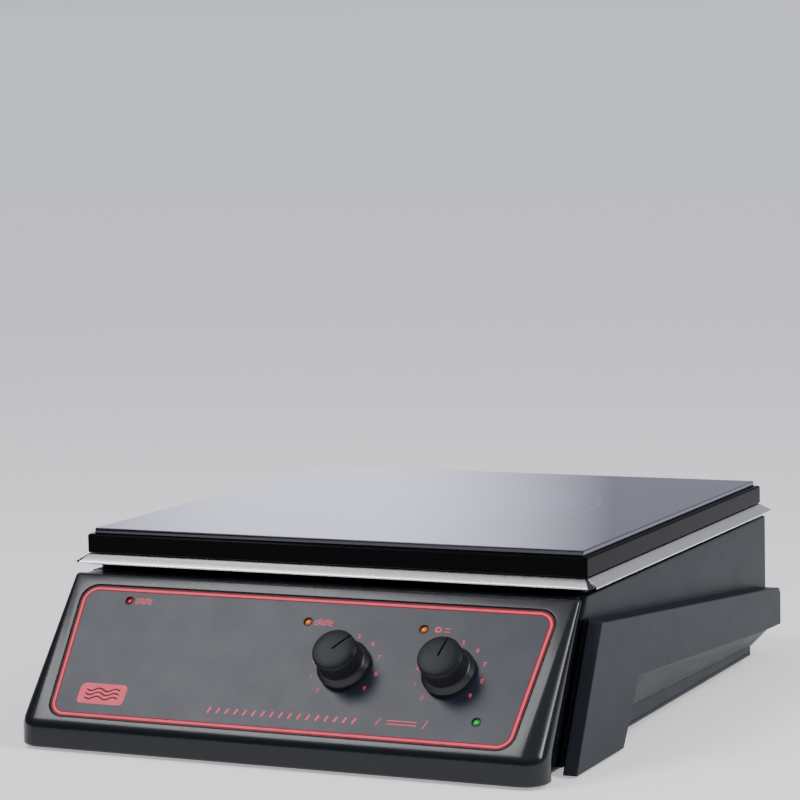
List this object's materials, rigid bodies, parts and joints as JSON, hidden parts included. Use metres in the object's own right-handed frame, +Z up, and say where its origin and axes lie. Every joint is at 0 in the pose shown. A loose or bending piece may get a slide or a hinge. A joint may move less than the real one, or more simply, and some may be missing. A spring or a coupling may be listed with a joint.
{
  "type": "hotplate magnetic stirrer",
  "caption": "Low bench-top hotplate stirrer: square black glass plate on a framed drip skirt over a sloping-front housing with rotary dials, indicator lamps and legs.",
  "frame": {"origin": "centre of the bounding box's base, on the bench surface under the feet", "axes": "+Z up, -Y towards the user (the sloping front with the dials), +X to the user's right"},
  "size_m": [0.326, 0.404, 0.112],
  "materials": {
    "plate_glass": "polished black glass ceramic",
    "black_gloss": "gloss black",
    "case_grey": "satin dark grey",
    "bezel_black": "satin black",
    "panel_grey": "smooth grey overlay with a red border",
    "steel": "brushed",
    "zinc": "zinc plated",
    "knob_black": "fine matt black",
    "cap_grey": "matt grey",
    "rubber": "black rubber",
    "fibre": "matt ceramic fibre",
    "coil": "oxidised resistance ribbon",
    "ferrite": "dark ferrite",
    "brass": "plain",
    "board": "green laminate",
    "lamp_red": "clear red lens",
    "lamp_amber": "clear amber lens",
    "lamp_green": "clear green lens"
  },
  "bodies": {
    "stirrer_body": {"glass_plate": "plate_glass", "glass_seal": "rubber", "plate_frame": "black_gloss", "drip_flange": "steel", "neck_ring": "black_gloss", "heater_pan": "steel", "heater_insulation": "fibre", "heater_coil": "coil", "limiter_rod": "fibre", "heater_spring_1": "steel", "heater_spring_2": "steel", "heater_spring_3": "steel", "heat_shield": "zinc", "motor_can": "zinc", "motor_bracket": "zinc", "housing": "case_grey", "side_cheek_left": "case_grey", "side_cheek_right": "case_grey", "front_bezel": "bezel_black", "control_panel": "panel_grey", "heat_nut": "zinc", "heat_pot": "zinc", "stir_nut": "zinc", "stir_pot": "zinc", "hot_lamp": "lamp_red", "heat_lamp": "lamp_amber", "stir_lamp": "lamp_amber", "power_lamp": "lamp_green", "control_board": "board", "power_board": "board", "power_transformer": "ferrite", "power_relay": "knob_black", "triac_heatsink": "zinc", "base_tray": "case_grey", "tray_rim": "case_grey", "tray_wall_right": "case_grey", "base_screw_1": "steel", "base_screw_2": "steel", "base_screw_3": "steel", "base_screw_4": "steel", "foot_1": "rubber", "foot_2": "rubber", "foot_3": "rubber", "foot_4": "rubber", "mains_inlet": "knob_black", "inlet_pin_earth": "brass", "inlet_pin_live": "brass", "inlet_pin_neutral": "brass"},
    "heat_dial": {"heat_knob": "knob_black", "heat_knob_cap": "cap_grey", "heat_shaft": "brass"},
    "stir_dial": {"stir_knob": "knob_black", "stir_knob_cap": "cap_grey", "stir_shaft": "brass"},
    "stirring_rotor": {"motor_shaft": "steel", "magnet_carrier": "zinc", "magnet_left": "ferrite", "magnet_right": "ferrite"},
    "fuse_holder": {"fuse_drawer": "knob_black"},
    "mains_rocker": {"switch_rocker": "knob_black"}
  },
  "joints": [
    {"name": "heat_dial_turn", "type": "hinge", "parent": "stirrer_body", "child": "heat_dial", "pos_m": [0.0314, -0.16965, 0.05156], "axis": [0, -0.7487, 0.6629], "range_deg": [-89, 184]},
    {"name": "stir_dial_turn", "type": "hinge", "parent": "stirrer_body", "child": "stir_dial", "pos_m": [0.0925, -0.16965, 0.05156], "axis": [0, -0.7487, 0.6629], "range_deg": [-118, 155]},
    {"name": "rotor_spin", "type": "hinge", "parent": "stirrer_body", "child": "stirring_rotor", "pos_m": [0, 0.0296, 0.05], "axis": [0, 0, 1], "continuous": true},
    {"name": "fuse_drawer_slide", "type": "slide", "parent": "stirrer_body", "child": "fuse_holder", "axis": [0, 1, 0], "range_m": [0, 0.012]},
    {"name": "mains_rocker_turn", "type": "hinge", "parent": "stirrer_body", "child": "mains_rocker", "pos_m": [0.102, 0.19676, 0.055], "axis": [1, 0, 0], "range_deg": [-18, 0]}
  ]
}
